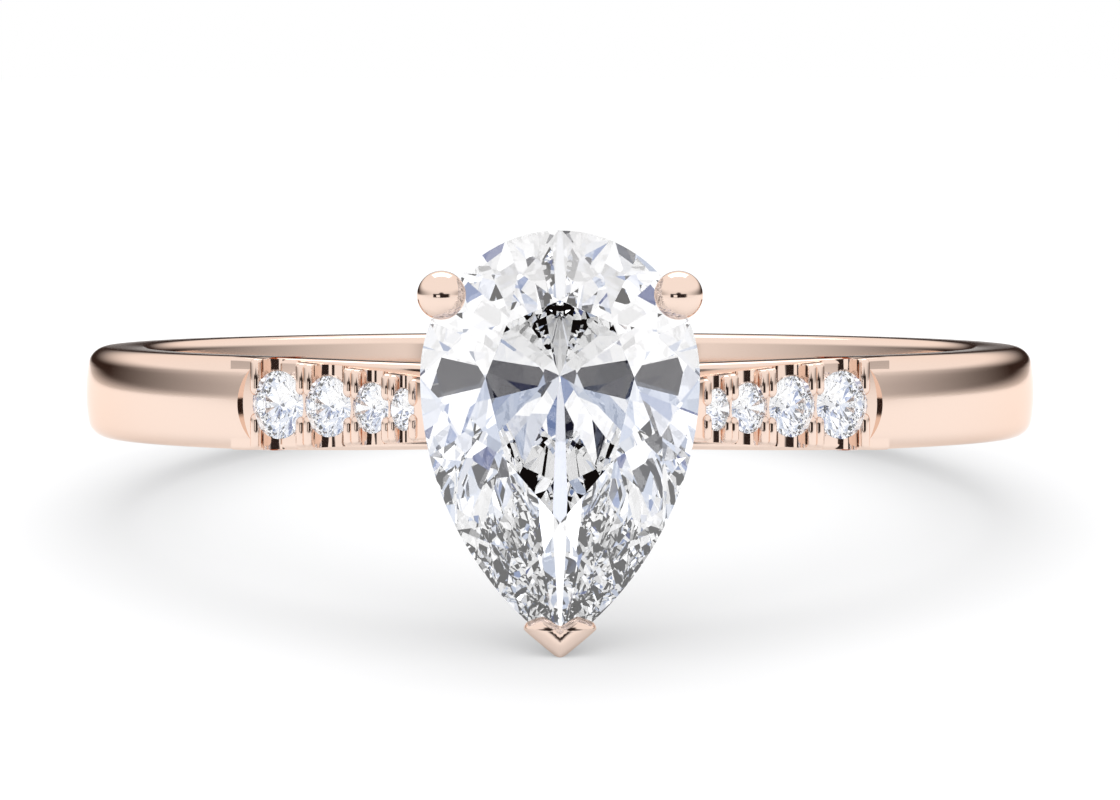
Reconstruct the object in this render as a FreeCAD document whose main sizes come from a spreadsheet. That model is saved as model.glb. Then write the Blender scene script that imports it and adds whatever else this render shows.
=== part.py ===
import FreeCAD, Part
import math
import os

import Sketcher
from types import SimpleNamespace

from FreeCAD import Placement, Rotation, Vector

# Engagement ring: a court-profile band with cathedral shoulders, a three-claw
# basket and a pear-shaped centre stone, flanked by four graduated accents a side.
# Frame: millimetres, origin at the centre of the finger bore, +Z along the finger
# axis, the centre stone facing -Y with its point towards -Z.

doc = FreeCAD.newDocument("engagement_ring")
sheet = doc.addObject("Spreadsheet::Sheet", "sizes")

DIMENSIONS = [
    ("finger_bore", 16.5, "inside diameter of the band"),
    ("band_wall", 1.31, "radial thickness of the band at its crest"),
    ("band_width", 1.81, "width of the band along the finger"),
    ("outer_rounding", 0.36, "rounding of the band's outer edges"),
    ("comfort_rounding", 0.2, "rounding of the band's inner edges"),
    ("bridge_wall", 0.9, "radial thickness of the band where it passes under the head"),
    ("shoulder_angle", 41, "degrees from the head to where a shoulder leaves the band"),
    ("shoulder_run", 3.1, "straight length of a shoulder"),
    ("shoulder_sweep", 5.1, "radius of the sweep that lifts a shoulder to the head"),
    ("shoulder_tip_width", 1.22, "width of a shoulder where it meets the head"),
    ("shoulder_depth", 1.0, "thickness of a shoulder under its stones"),
    ("bright_cut_depth", 0.08, "how far the stone-set face is cut below the band"),
    ("bright_cut_radius", 1.0, "radius of the bright cut's end wall"),
    ("stone_width", 5.31, "width of the pear-shaped centre stone"),
    ("stone_length", 7.93, "length of the centre stone"),
    ("stone_head", 2.77, "height of the stone's rounded end above its widest line"),
    ("stone_offset", 0.68, "height of the stone's widest line above the band's middle"),
    ("girdle_height", 0.12, "thickness of the centre stone's girdle"),
    ("crown_height", 0.76, "height of the centre stone above its girdle"),
    ("pavilion_depth", 2.25, "depth of the centre stone below its girdle"),
    ("table_ratio", 0.57, "size of a stone's table over the size of its girdle"),
    ("culet_gap", 0.15, "room between the centre stone's culet and the bridge"),
    ("accent_first", 1.32, "diameter of the accent stone farthest from the head"),
    ("accent_second", 1.18, "diameter of the second accent stone"),
    ("accent_third", 0.98, "diameter of the third accent stone"),
    ("accent_fourth", 0.82, "diameter of the accent stone beside the head"),
    ("accent_girdle", 0.03, "thickness of an accent stone's girdle over its diameter"),
    ("accent_crown", 0.15, "height of an accent stone's crown over its diameter"),
    ("accent_pavilion", 0.43, "depth of an accent stone's pavilion over its diameter"),
    ("notch_size", 0.36, "radius of a side notch over its stone's diameter"),
    ("notch_start", 0.4, "distance of a side notch from its stone's axis over the stone's diameter"),
    ("accent_gap", 0.06, "room between neighbouring accent stones"),
    ("accent_seat_gap", 0.01, "room between an accent stone and its seat"),
    ("bead_radius", 0.12, "radius of the small claws that hold the accent stones"),
    ("claw_wire", 0.72, "diameter of the round claws' wire"),
    ("claw_ball", 0.93, "diameter of the round claws' ball tips"),
    ("claw_angle", 34.6, "degrees of a round claw above the stone's widest line"),
    ("claw_foot", 1.25, "distance of a round claw's foot from the stone's axis"),
    ("point_wall", 0.27, "wall of the V claw outside the stone's point"),
    ("point_reach", 0.7, "half width of the V claw"),
    ("point_lip", 0.62, "how far up the crown the V claw folds, over the crown's height"),
    ("point_prong", 0.8, "width of the prong that carries the V claw"),
    ("rail_width", 0.55, "width of the gallery rails"),
    ("rail_height", 0.5, "height of the gallery rails"),
    ("gallery_rise", 0.48, "height of the gallery rail over the culet, over the pavilion's depth"),
    ("rail_gap", 0.02, "room between a gallery rail and the stone's pavilion"),
    ("base_inset", 1.25, "how far the base rail lies inside the stone's outline"),
]

for row, (alias, number, note) in enumerate(DIMENSIONS, start=1):
    sheet.set(f"A{row}", note)
    sheet.set(f"B{row}", str(number))
    sheet.setAlias(f"B{row}", alias)
doc.recompute()
size = SimpleNamespace(**{alias: float(sheet.get(alias)) for alias, _, _ in DIMENSIONS})

# Formulas that several pieces share, as the sheet's expressions.
BORE_RADIUS = "sizes.finger_bore / 2"
BAND_RADIUS = f"{BORE_RADIUS} + sizes.band_wall"
BRIDGE_RADIUS = f"{BORE_RADIUS} + sizes.bridge_wall"

bore_radius = size.finger_bore / 2
band_radius = bore_radius + size.band_wall
bridge_radius = bore_radius + size.bridge_wall
culet_height = bridge_radius + size.culet_gap
girdle_base = culet_height + size.pavilion_depth
crown_base = girdle_base + size.girdle_height
half_width = size.stone_width / 2
point_drop = size.stone_length - size.stone_head
side_radius = (point_drop ** 2 + half_width ** 2) / (2 * half_width)
side_offset = side_radius - half_width
gallery_low = culet_height + size.gallery_rise * size.pavilion_depth
clear_share = 1 - (gallery_low + size.rail_height - culet_height) / size.pavilion_depth
gallery_inset = half_width * clear_share - size.rail_gap - size.rail_width
accents = (size.accent_first, size.accent_second, size.accent_third, size.accent_fourth)
ACCENT_ALIASES = ("accent_first", "accent_second", "accent_third", "accent_fourth")

# The head's own frame: x to the right, y up the finger, z away from the finger,
# with its origin on the finger axis behind the stone's widest line.
head_frame = Placement(Vector(0, 0, size.stone_offset), Rotation(Vector(1, 0, 0), 90))
SIDES = {"right": 1, "left": -1}

# How a round claw sweeps: its top's overhang, its bulge outside the girdle and the bulge's
# height below the girdle, over the wire; its top's height over the crown; its waist's reach.
CLAW_OVERHANG, CLAW_BULGE, CLAW_DIP = 0.1, 0.12, 0.25
CLAW_RISE, CLAW_WAIST = 0.2, 0.55

# The V claw's arm: its outer and inner corners and its inner bend above the stone's point,
# and its prong's depth at the top and at the foot, over the claw's wall.
ARM_OUTER, ARM_INNER, ARM_BEND = 1.7, 2.3, 1.5
ARM_TAPER = 0.45
PRONG_TOP, PRONG_FOOT = 2, 2.4


def bind(thing, **formulas):
    """Tie properties of an object to the sizes sheet."""
    for name, formula in formulas.items():
        thing.setExpression(name, formula)
    return thing


def plane_of(body, role):
    """One of a body's own origin planes."""
    return next(f for f in body.Origin.OriginFeatures if f.Role == role)


def new_body(name, placement=None):
    body = doc.addObject("PartDesign::Body", name)
    if placement is not None:
        body.Placement = placement
    return body


def new_sketch(body, name, role, lift=None):
    """A sketch on one of the body's origin planes, lifted by a formula if given."""
    sketch = body.newObject("Sketcher::SketchObject", name)
    sketch.AttachmentSupport = [(plane_of(body, role), "")]
    sketch.MapMode = "FlatFace"
    if lift is not None:
        sketch.setExpression("AttachmentOffset.Base.z", lift)
    return sketch


def add_constraint(sketch, *args, name=None, formula=None):
    """Add one constraint, and tie it to the sheet when it has a formula."""
    index = sketch.addConstraint(Sketcher.Constraint(*args))
    if name is not None:
        sketch.renameConstraint(index, name)
        sketch.setExpression(f"Constraints.{name}", formula)
    return index


def join_ends(sketch, count, first=0):
    """Make a closed chain of the sketch's edges, joining the ends that meet."""
    for step in range(count):
        edge, after = first + step, first + (step + 1) % count
        for end in (1, 2):
            for start in (1, 2):
                gap = sketch.getPoint(edge, end).distanceToPoint(sketch.getPoint(after, start))
                if gap < 1e-6:
                    add_constraint(sketch, "Coincident", edge, end, after, start)


# ---------------------------------------------------------------- the shoulders

def shoulder_line(travel, drop=0.0):
    """Place and directions on the right shoulder's stone-set face.

    travel runs from where the shoulder leaves the band towards the head, and
    drop is measured inwards from the face. Gives the point, the direction of
    travel and the outward normal, all in the plane of the band."""
    turn = math.radians(size.shoulder_angle)
    start = Vector(math.sin(turn), -math.cos(turn), 0) * (band_radius - size.bright_cut_depth)
    along = Vector(-math.cos(turn), -math.sin(turn), 0)
    normal = Vector(math.sin(turn), -math.cos(turn), 0)
    if travel <= size.shoulder_run:
        return start + along * travel - normal * drop, along, normal
    corner = start + along * size.shoulder_run
    bend = (travel - size.shoulder_run) / size.shoulder_sweep
    centre = corner + normal * size.shoulder_sweep
    swept = Rotation(Vector(0, 0, 1), math.degrees(bend))
    normal = swept.multVec(normal)
    return centre - normal * (size.shoulder_sweep + drop), swept.multVec(along), normal


def accent_travels():
    """Travel of each accent stone's centre along the shoulder."""
    places = [size.bright_cut_radius]
    for before, after in zip(accents, accents[1:]):
        places.append(places[-1] + (before + after) / 2 + size.accent_gap)
    return places


shoulder_end = accent_travels()[-1] + accents[-1] / 2 + 2 * size.bead_radius + size.rail_width / 2


def heel_travel():
    """Travel at which a shoulder's underside rises off the bridge."""
    low, high = 0.0, shoulder_end
    while high - low > 1e-9:
        middle = (low + high) / 2
        if shoulder_line(middle, size.shoulder_depth)[0].Length < bridge_radius:
            low = middle
        else:
            high = middle
    return high


def shoulder_edges(flip):
    """One shoulder's outline from the band over its face to its tip, and back under it to the bridge."""
    def on(travel, drop=0.0):
        point = shoulder_line(travel, drop)[0]
        return Vector(flip * point.x, point.y, 0)

    leave = shoulder_line(0, -size.bright_cut_depth)[0]
    middle, heel = (size.shoulder_run + shoulder_end) / 2, heel_travel()
    depth, foot = size.shoulder_depth, max(heel, size.shoulder_run)
    edges = [Part.LineSegment(Vector(flip * leave.x, leave.y, 0), on(0)),
             Part.LineSegment(on(0), on(size.shoulder_run)),
             Part.Arc(on(size.shoulder_run), on(middle), on(shoulder_end)),
             Part.LineSegment(on(shoulder_end), on(shoulder_end, depth)),
             Part.Arc(on(shoulder_end, depth), on((foot + shoulder_end) / 2, depth), on(foot, depth))]
    if heel < size.shoulder_run:
        edges.append(Part.LineSegment(on(size.shoulder_run, depth), on(heel, depth)))
    return edges, Vector(flip * leave.x, leave.y, 0), on(heel, depth)


def shank_blank():
    """Band, bridge and both shoulder arches as one blank, cut from a plate of the band's width."""
    body = new_body("shank_blank")
    plan = new_sketch(body, "shank_plan", "XY_Plane")
    left_edges, left_leave, left_heel = shoulder_edges(-1)
    right_edges, right_leave, right_heel = shoulder_edges(1)
    outline = [Part.Arc(right_leave, Vector(0, band_radius, 0), left_leave)] + left_edges
    outline.append(Part.Arc(left_heel, Vector(0, -bridge_radius, 0), right_heel))
    outline += reversed(right_edges)
    for edge in outline:
        plan.addGeometry(edge)
    join_ends(plan, len(outline))
    bore = plan.addGeometry(Part.Circle(Vector(0, 0, 0), Vector(0, 0, 1), bore_radius))
    add_constraint(plan, "Coincident", bore, 3, -1, 1)
    add_constraint(plan, "Radius", bore, bore_radius, name="bore", formula=BORE_RADIUS)
    pad = body.newObject("PartDesign::Pad", "shank_pad")
    pad.Profile = plan
    pad.Midplane = True
    bind(pad, Length="sizes.band_width")
    doc.recompute()

    half = size.band_width / 2
    bore_rims = [f"Edge{number}" for number, rim in enumerate(pad.Shape.Edges, start=1)
                 if hasattr(rim.Curve, "Radius") and abs(rim.Curve.Radius - bore_radius) < 1e-6
                 and abs(abs(rim.Vertexes[0].Z) - half) < 1e-6]
    comfort = body.newObject("PartDesign::Fillet", "comfort_fillet")
    comfort.Base = (pad, bore_rims)
    bind(comfort, Radius="sizes.comfort_rounding")
    doc.recompute()

    corner = new_sketch(body, "rim_section", "YZ_Plane")
    rounding = size.outer_rounding
    diagonal = rounding * (1 - math.sqrt(0.5))
    for up in (1, -1):
        face_end = Vector(band_radius, up * (half - rounding), 0)
        side_end = Vector(band_radius - rounding, up * half, 0)
        belly = Vector(band_radius - diagonal, up * (half - diagonal), 0)
        clear = rounding / 4
        outside = [side_end, side_end + Vector(0, up * clear, 0),
                   Vector(band_radius + clear, up * (half + clear), 0),
                   face_end + Vector(clear, 0, 0), face_end]
        corner.addGeometry(Part.Arc(face_end, belly, side_end))
        for ahead, following in zip(outside, outside[1:]):
            corner.addGeometry(Part.LineSegment(ahead, following))
        join_ends(corner, 5, corner.GeometryCount - 5)
    groove = body.newObject("PartDesign::Groove", "rim_rounding")
    groove.Profile = corner
    groove.ReferenceAxis = (corner, ["V_Axis"])
    groove.Midplane = True
    bind(groove, Angle="360 - 2 * sizes.shoulder_angle")
    doc.recompute()
    return body


def taper_tool():
    """What narrows both shoulders towards the head, above and below them, down to the bridge."""
    body = new_body("taper_blank")
    front = new_sketch(body, "shoulder_taper", "XZ_Plane")
    start, tip = shoulder_line(0)[0], shoulder_line(shoulder_end)[0]
    wide, slim, clear = size.band_width / 2, size.shoulder_tip_width / 2, size.band_width
    for up in (1, -1):
        corners = [Vector(-start.x, up * wide, 0), Vector(-tip.x, up * slim, 0),
                   Vector(tip.x, up * slim, 0), Vector(start.x, up * wide, 0),
                   Vector(start.x, up * clear, 0), Vector(-start.x, up * clear, 0)]
        first = front.GeometryCount
        for corner, following in zip(corners, corners[1:] + corners[:1]):
            front.addGeometry(Part.LineSegment(corner, following))
        for step in range(6):
            add_constraint(front, "Coincident", first + step, 2, first + (step + 1) % 6, 1)
        ends = (-1, 1, first, 2) if up > 0 else (first, 2, -1, 1)
        add_constraint(front, "DistanceY", *ends, slim, name="tip_above" if up > 0 else "tip_below",
                       formula="sizes.shoulder_tip_width / 2")
    pad = body.newObject("PartDesign::Pad", "taper_pad")
    pad.Profile = front
    pad.Length = 2 * band_radius
    return body


# ---------------------------------------------------------------- placing by a frame

def framed(origin, across, outward):
    """A placement whose x runs across and whose z runs outward."""
    up = outward.cross(across)
    matrix = FreeCAD.Matrix(across.x, up.x, outward.x, origin.x,
                            across.y, up.y, outward.y, origin.y,
                            across.z, up.z, outward.z, origin.z, 0, 0, 0, 1)
    return Placement(matrix)


def on_shoulder(side, travel, rise=0.0, height=0.0):
    """Frame on a shoulder's face: x along the travel, z outward, at a height along the finger."""
    point, along, normal = shoulder_line(travel, -rise)
    flip = SIDES[side]
    point, along, normal = [Vector(flip * v.x, v.y, v.z) for v in (point, along, normal)]
    return framed(point + Vector(0, 0, height), along, normal)


def shift(frame, x=0.0, y=0.0, z=0.0):
    return frame.multiply(Placement(Vector(x, y, z), Rotation()))


def primitive(kind, name, placement, **formulas):
    """A Part primitive tied to the sheet, at a placement."""
    solid = bind(doc.addObject(f"Part::{kind}", name), **formulas)
    solid.Placement = placement
    return solid


def group(kind, name, shapes):
    joined = doc.addObject(f"Part::{kind}", name)
    joined.Shapes = shapes
    return joined


def cut(name, base, tool, label=None):
    """Base with the tool taken away. With a label it is one of the ring's pieces."""
    result = doc.addObject("Part::Cut", name)
    result.Base, result.Tool = base, tool
    if label is not None:
        result.Label = label
    return result


# ---------------------------------------------------------------- cut stones

def facet(shape, first, second, apex):
    """Cut a stone back to the plane through two points of an outline and an apex on its axis."""
    plane = Part.Plane(first, second, apex)
    inside = Vector(0, 0, (apex.z + first.z) / 4)
    side = plane.toShape()
    return shape.common(side.makeHalfSpace(inside))


def brilliant(outline, edge_point, tangent, girdle, crown, pavilion):
    """A brilliant-cut stone whose culet axis is z and whose girdle starts at z = 0.

    edge_point(turn) gives the outline at an angle round the axis, and tangent(turn)
    its direction there. Eight main facets, eight stars and sixteen halves above the
    girdle, eight mains and sixteen halves below it."""
    half_step, main_step = 22.5, 45.0
    steeper_crown, steeper_pavilion, star_rise = 1.22, 1.035, 1.69
    height = pavilion + girdle + crown
    stone = outline.extrude(Vector(0, 0, height))
    stone.translate(Vector(0, 0, -pavilion))
    top, table = Vector(0, 0, girdle), size.table_ratio
    main_top = girdle + crown / (1 - table)
    half_top = girdle + steeper_crown * crown / (1 - table)
    star_top = girdle + crown * star_rise
    cuts = []
    for step in range(8):
        turn = -90 + main_step * step
        point, along = edge_point(turn), tangent(turn)
        cuts.append((point + along + top, point - along + top, Vector(0, 0, main_top)))
        cuts.append((point + along, point - along, Vector(0, 0, -pavilion)))
        following = edge_point(turn + main_step)
        lift = Vector(0, 0, girdle + crown)
        cuts.append((point * table + lift, following * table + lift, Vector(0, 0, star_top)))
    for step in range(16):
        point = edge_point(-90 + half_step * step)
        following = edge_point(-90 + half_step * (step + 1))
        cuts.append((point + top, following + top, Vector(0, 0, half_top)))
        cuts.append((point, following, Vector(0, 0, -pavilion * steeper_pavilion)))
    for first, second, apex in cuts:
        stone = facet(stone, first, second, apex)
    return stone


def pear_edge(turn, inset=0.0):
    """A point of the pear outline, or of one inset from it, at an angle round its axis."""
    wave = math.radians(turn)
    across, up = math.cos(wave), math.sin(wave)
    if up >= 0:
        reach = 1 / math.hypot(across / (half_width - inset), up / (size.stone_head - inset))
    else:
        lean = side_offset * abs(across)
        reach = -lean + math.sqrt(lean ** 2 + (side_radius - inset) ** 2 - side_offset ** 2)
    return Vector(across * reach, up * reach, 0)


def pear_tangent(turn):
    """Direction of the pear outline at an angle round its axis; level at the point."""
    ahead, behind = pear_edge(turn + 0.01), pear_edge(turn - 0.01)
    return (ahead - behind).normalize()


PEAR_TURNS = (0, 90, 180, 225, -90, -45)


def pear_wire():
    """The pear outline: half an ellipse and two long arcs that meet at the point."""
    right, top, left, left_side, tip, right_side = [pear_edge(turn) for turn in PEAR_TURNS]
    broad = half_width > size.stone_head
    ellipse = Part.Ellipse(*((right, top) if broad else (top, right)), Vector(0, 0, 0))
    start = 0 if broad else -math.pi / 2
    head = Part.ArcOfEllipse(ellipse, start, start + math.pi)
    return Part.Wire([head.toShape(), Part.Arc(left, left_side, tip).toShape(),
                      Part.Arc(tip, right_side, right).toShape()])


def stone_node(name, shape, placement):
    """A stone as its own piece of the ring."""
    stone = doc.addObject("Part::Feature", name)
    stone.Shape = shape
    stone.Placement = placement
    stone.Label = name
    return stone


def centre_stone():
    outline = Part.Face(pear_wire())
    shape = brilliant(outline, pear_edge, pear_tangent, size.girdle_height,
                      size.crown_height, size.pavilion_depth)
    return stone_node("centre_stone", shape, shift(head_frame, z=girdle_base))


def round_cut(diameter):
    """Proportions of a round accent stone: girdle, crown and pavilion heights."""
    return size.accent_girdle * diameter, size.accent_crown * diameter, size.accent_pavilion * diameter


def accent_stone(side, number, diameter, travel):
    girdle, crown, pavilion = round_cut(diameter)
    reach = diameter / 2

    def edge(turn):
        return Vector(math.cos(math.radians(turn)), math.sin(math.radians(turn)), 0) * reach

    def along(turn):
        return Vector(-math.sin(math.radians(turn)), math.cos(math.radians(turn)), 0) * reach

    outline = Part.Face(Part.Wire([Part.Circle(Vector(0, 0, 0), Vector(0, 0, 1), reach).toShape()]))
    shape = brilliant(outline, edge, along, girdle, crown, pavilion)
    return stone_node(f"accent_stone_{side}_{number}", shape, on_shoulder(side, travel, -girdle))


# ---------------------------------------------------------------- seats and small claws

def accent_seat(side, number, alias, travel):
    """The hollow an accent stone drops into: a cone below its girdle, open above."""
    girdle, _, pavilion = round_cut(getattr(size, alias))
    frame = on_shoulder(side, travel, -girdle)
    reach = f"sizes.{alias} / 2 + sizes.accent_seat_gap"
    name = f"{side}_{number}"
    cone = primitive("Cone", f"seat_cone_{name}", shift(frame, z=-pavilion), Radius1="sizes.accent_seat_gap",
                     Radius2=reach, Height=f"sizes.accent_pavilion * sizes.{alias}")
    bore = primitive("Cylinder", f"seat_bore_{name}", frame, Radius=reach, Height=f"sizes.{alias}")
    return [cone, bore]


def side_notch(side, number, alias, travel):
    """A U cut through both side walls beside an accent stone, which lets in light."""
    diameter = getattr(size, alias)
    notches = []
    for up in (1, -1):
        base, _, _ = shoulder_line(travel)
        place = Placement(Vector(SIDES[side] * base.x, base.y, up * size.notch_start * diameter),
                          Rotation(Vector(1, 0, 0), 0 if up > 0 else 180))
        notches.append(primitive("Cylinder", f"notch_{side}_{number}_{'low' if up < 0 else 'high'}", place,
                                 Radius=f"sizes.notch_size * sizes.{alias}", Height="sizes.band_width"))
    return notches


# ---------------------------------------------------------------- the head

def round_claw(side):
    """A round wire that rises from the base rail, sweeps out round the girdle and ends in a ball."""
    turn = size.claw_angle if side == "right" else 180 - size.claw_angle
    frame = head_frame.multiply(Placement(Vector(0, 0, 0), Rotation(Vector(0, 0, 1), turn)))
    body = new_body(f"claw_wire_{side}", frame)
    foot_height = bridge_radius - size.rail_height / 2
    top_reach = half_width + CLAW_OVERHANG * size.claw_wire
    top_height = crown_base + CLAW_RISE * size.crown_height
    rings = [(size.claw_foot, foot_height),
             (CLAW_WAIST * (size.claw_foot + top_reach), (foot_height + top_height) / 2),
             (top_reach + CLAW_BULGE * size.claw_wire, girdle_base - CLAW_DIP * size.claw_wire),
             (top_reach, top_height)]
    sections = []
    for number, (reach, height) in enumerate(rings):
        section = new_sketch(body, f"claw_section_{side}_{number}", "XY_Plane")
        section.AttachmentOffset = Placement(Vector(0, 0, height), Rotation())
        section.addGeometry(Part.Circle(Vector(reach, 0, 0), Vector(0, 0, 1), size.claw_wire / 2))
        add_constraint(section, "Radius", 0, size.claw_wire / 2, name="wire",
                       formula="sizes.claw_wire / 2")
        sections.append(section)
    wire = body.newObject("PartDesign::AdditiveLoft", f"claw_loft_{side}")
    wire.Profile = sections[0]
    wire.Sections = sections[1:]
    ball = primitive("Sphere", f"claw_ball_{side}", shift(frame, x=top_reach, z=top_height),
                     Radius="sizes.claw_ball / 2")
    return group("MultiFuse", f"claw_blank_{side}", [body, ball])


def point_claw():
    """The V claw: a chevron folded over the stone's point, on a prong from the base rail."""
    body = new_body("point_blank", head_frame)
    tip = -point_drop
    wall, reach = size.point_wall, size.point_reach
    lip = crown_base + size.point_lip * size.crown_height
    chevron = new_sketch(body, "chevron", "XY_Plane")
    foot = girdle_base - 2 * wall
    chevron.AttachmentOffset = Placement(Vector(0, 0, foot), Rotation())
    right = [Vector(reach, tip + wall, 0), Vector(reach, tip + ARM_OUTER * wall, 0),
             Vector(ARM_TAPER * reach, tip + ARM_INNER * wall, 0)]
    left = [Vector(-corner.x, corner.y, 0) for corner in reversed(right)]
    corners = [Vector(0, tip - wall, 0)] + right + [Vector(0, tip + ARM_BEND * wall, 0)] + left
    for corner, following in zip(corners, corners[1:] + corners[:1]):
        chevron.addGeometry(Part.LineSegment(corner, following))
    join_ends(chevron, len(corners))
    pad = body.newObject("PartDesign::Pad", "chevron_pad")
    pad.Profile = chevron
    pad.Length = lip - foot
    side = new_sketch(body, "prong_side", "YZ_Plane")
    base_tip = pear_edge(-90, size.base_inset).y
    low = bridge_radius - size.rail_height / 2
    high = foot + wall
    knee = pear_edge(-90, gallery_inset).y - wall / 4
    outline = [Vector(base_tip, low, 0), Vector(knee, gallery_low, 0), Vector(tip - wall, high, 0),
               Vector(tip + PRONG_TOP * wall, high, 0), Vector(base_tip + PRONG_FOOT * wall, low, 0)]
    for corner, following in zip(outline, outline[1:] + outline[:1]):
        side.addGeometry(Part.LineSegment(corner, following))
    join_ends(side, len(outline))
    prong = body.newObject("PartDesign::Pad", "prong_pad")
    prong.Profile = side
    prong.Midplane = True
    bind(prong, Length="sizes.point_prong")
    return body


def rail(name, inset, low, alias_height):
    """A flat pear-shaped rail whose outer edge lies inset from the stone's outline."""
    body = new_body(name, head_frame)
    sketch = new_sketch(body, f"{name}_outline", "XY_Plane")
    sketch.AttachmentOffset = Placement(Vector(0, 0, low), Rotation())
    for offset in (inset, inset + size.rail_width):
        first = sketch.GeometryCount
        right, top, left, left_side, tip, right_side = [
            pear_edge(turn, offset) for turn in PEAR_TURNS]
        for ends in ((right, top, left), (left, left_side, tip), (tip, right_side, right)):
            sketch.addGeometry(Part.Arc(*ends))
        chain = [(first, 2, first + 1, 1), (first + 1, 2, first + 2, 1), (first + 2, 2, first, 1)]
        for joint in chain:
            add_constraint(sketch, "Coincident", *joint)
    pad = body.newObject("PartDesign::Pad", f"{name}_pad")
    pad.Profile = sketch
    bind(pad, Length=f"sizes.{alias_height}")
    return body


# ---------------------------------------------------------------- putting it together

def build_ring():
    stone = centre_stone()
    pieces = [stone]
    travels = accent_travels()
    for side in SIDES:
        for number, (diameter, travel) in enumerate(zip(accents, travels), start=1):
            pieces.append(accent_stone(side, number, diameter, travel))

    bridge = primitive("Cylinder", "bridge_face", Placement(Vector(0, 0, -size.stone_length), Rotation()),
                       Radius=BRIDGE_RADIUS, Height="2 * sizes.stone_length")
    claws = {}
    for side in SIDES:
        blank = round_claw(side)
        seated = cut(f"claw_seated_{side}", blank, stone)
        claws[side] = cut(f"claw_{side}", seated, bridge, f"claw_{side}")
    seated = cut("v_claw_seated", point_claw(), stone)
    claws["v"] = cut("v_claw", seated, bridge, "v_claw")
    pieces += claws.values()

    claw_set = group("MultiFuse", "claw_set", list(claws.values()))
    gallery_blank = rail("gallery_blank", gallery_inset, gallery_low, "rail_height")
    gallery = cut("gallery_rail", gallery_blank, claw_set, "gallery_rail")
    base_low = bridge_radius - size.rail_height / 2
    base_blank = rail("base_blank", size.base_inset, base_low, "rail_height")
    base_saddle = cut("base_saddle", base_blank, bridge)
    base = cut("base_rail", base_saddle, claw_set, "base_rail")
    pieces += [gallery, base]

    blank, taper = shank_blank(), taper_tool()
    above_bridge = cut("above_bridge", taper, bridge)
    tapered = cut("shank_tapered", blank, above_bridge)
    tools = []
    for side in SIDES:
        for number, (alias, travel) in enumerate(zip(ACCENT_ALIASES, travels), start=1):
            tools += accent_seat(side, number, alias, travel)
            tools += side_notch(side, number, alias, travel)
    shape = tapered
    for tool in tools + [claw_set, gallery, base]:
        shape = cut(f"shank_less_{tool.Name}", shape, tool)
    shape.Label = "shank"
    pieces.append(shape)
    return pieces


def write_parts(pieces):
    doc.recompute()
    failed = [thing.Name for thing in doc.Objects if "Invalid" in thing.State or "Error" in thing.State]
    if failed:
        raise RuntimeError(f"objects that did not recompute: {failed}")
    for piece in pieces:
        if piece.Shape.isNull() or not piece.Shape.isValid():
            raise RuntimeError(f"{piece.Label} is not a valid solid")
    os.makedirs("parts", exist_ok=True)
    for piece in pieces:
        piece.Shape.exportStep(f"parts/{piece.Label}.step")
        box = piece.Shape.optimalBoundingBox()
        print(f"{piece.Label}: {len(piece.Shape.Solids)} solid, {piece.Shape.Volume:.3f} mm3, "
              f"x {box.XMin:.2f}..{box.XMax:.2f} y {box.YMin:.2f}..{box.YMax:.2f} "
              f"z {box.ZMin:.2f}..{box.ZMax:.2f}")


write_parts(build_ring())
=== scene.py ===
import math
import random
from types import SimpleNamespace

import bmesh
import bpy
from bpy.props import FloatProperty, FloatVectorProperty, IntProperty, PointerProperty
from mathutils import Matrix, Vector


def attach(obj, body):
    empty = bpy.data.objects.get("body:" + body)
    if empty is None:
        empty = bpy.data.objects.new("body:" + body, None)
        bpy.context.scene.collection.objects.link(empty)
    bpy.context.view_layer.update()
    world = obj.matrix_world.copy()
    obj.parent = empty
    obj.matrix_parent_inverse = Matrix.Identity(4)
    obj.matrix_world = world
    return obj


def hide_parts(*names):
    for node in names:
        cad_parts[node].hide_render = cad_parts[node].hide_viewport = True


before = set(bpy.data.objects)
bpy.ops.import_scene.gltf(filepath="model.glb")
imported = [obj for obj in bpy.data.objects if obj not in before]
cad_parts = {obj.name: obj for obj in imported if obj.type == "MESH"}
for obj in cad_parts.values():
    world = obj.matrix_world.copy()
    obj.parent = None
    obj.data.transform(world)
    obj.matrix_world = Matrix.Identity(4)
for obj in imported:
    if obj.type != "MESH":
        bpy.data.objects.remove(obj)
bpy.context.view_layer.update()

bl_info = {
    "name": "Pear Engagement Ring",
    "version": (1, 0, 0),
    "blender": (4, 5, 0),
    "location": "View3D > Sidebar > Ring",
    "description": "Builds a rose gold engagement ring with a pear-shaped diamond and accent stones",
    "category": "Object",
}

MM = 0.001
UP = Vector((0, 0, 1))

# Proportions of an accent stone over its diameter, and the room round it in its seat.
ACCENT_GIRDLE, ACCENT_CROWN, ACCENT_PAVILION, ACCENT_TABLE = 0.03, 0.15, 0.43, 0.55
SEAT_GAP = 0.01


def length(name, description, millimetres):
    """A size property, given in millimetres and kept in metres."""
    return FloatProperty(name=name, description=description, default=millimetres * MM,
                         unit="LENGTH", precision=5)


def turn(name, description, degrees):
    """An angle property, given in degrees."""
    return FloatProperty(name=name, description=description, default=math.radians(degrees),
                         subtype="ANGLE", unit="ROTATION")


def share(name, description, value):
    """A plain ratio."""
    return FloatProperty(name=name, description=description, default=value, min=0.0, precision=3)


def colour(name, description, value):
    """A linear colour."""
    return FloatVectorProperty(name=name, description=description, default=value, size=3,
                               subtype="COLOR", min=0.0, max=1.0)


# ---------------------------------------------------------------- sizes and colours

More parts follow.
